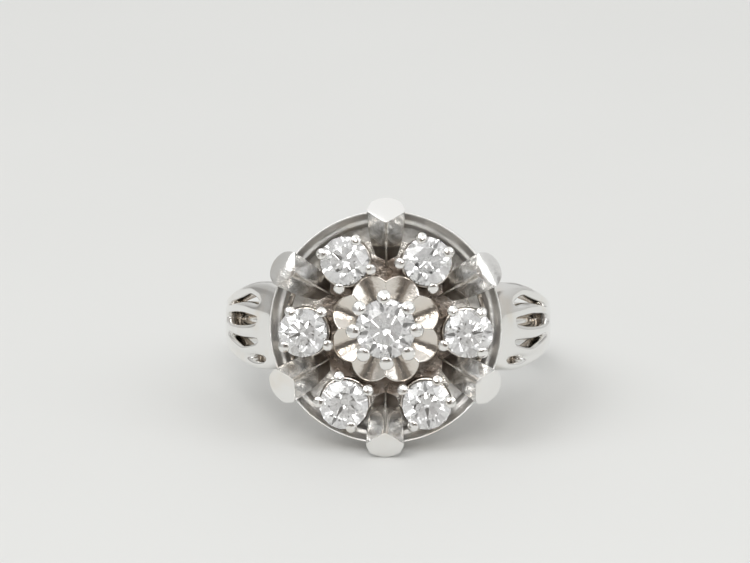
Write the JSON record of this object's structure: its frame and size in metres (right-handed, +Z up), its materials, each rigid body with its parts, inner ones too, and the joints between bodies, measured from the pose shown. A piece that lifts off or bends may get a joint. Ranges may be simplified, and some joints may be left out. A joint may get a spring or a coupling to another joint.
{
  "type": "cluster ring",
  "caption": "White gold flower cluster ring: round centre stone in a petal cup, ring of round side stones, V claws and pierced fan shoulders.",
  "frame": {"origin": "middle of the footprint on the table, under the ring as it lies on its side", "axes": "+Z up from the table; -Y is the side that the stones face, tilted up by about 16 degrees; +X across the head, to the right as seen from the front"},
  "size_m": [0.0204, 0.0262, 0.0152],
  "materials": {
    "white_gold": "polished",
    "diamond": "polished"
  },
  "bodies": {
    "root": {"ring_mount": "white_gold", "centre_diamond": "diamond", "side_diamond_1": "diamond", "side_diamond_2": "diamond", "side_diamond_3": "diamond", "side_diamond_4": "diamond", "side_diamond_5": "diamond", "side_diamond_6": "diamond"}
  },
  "joints": []
}
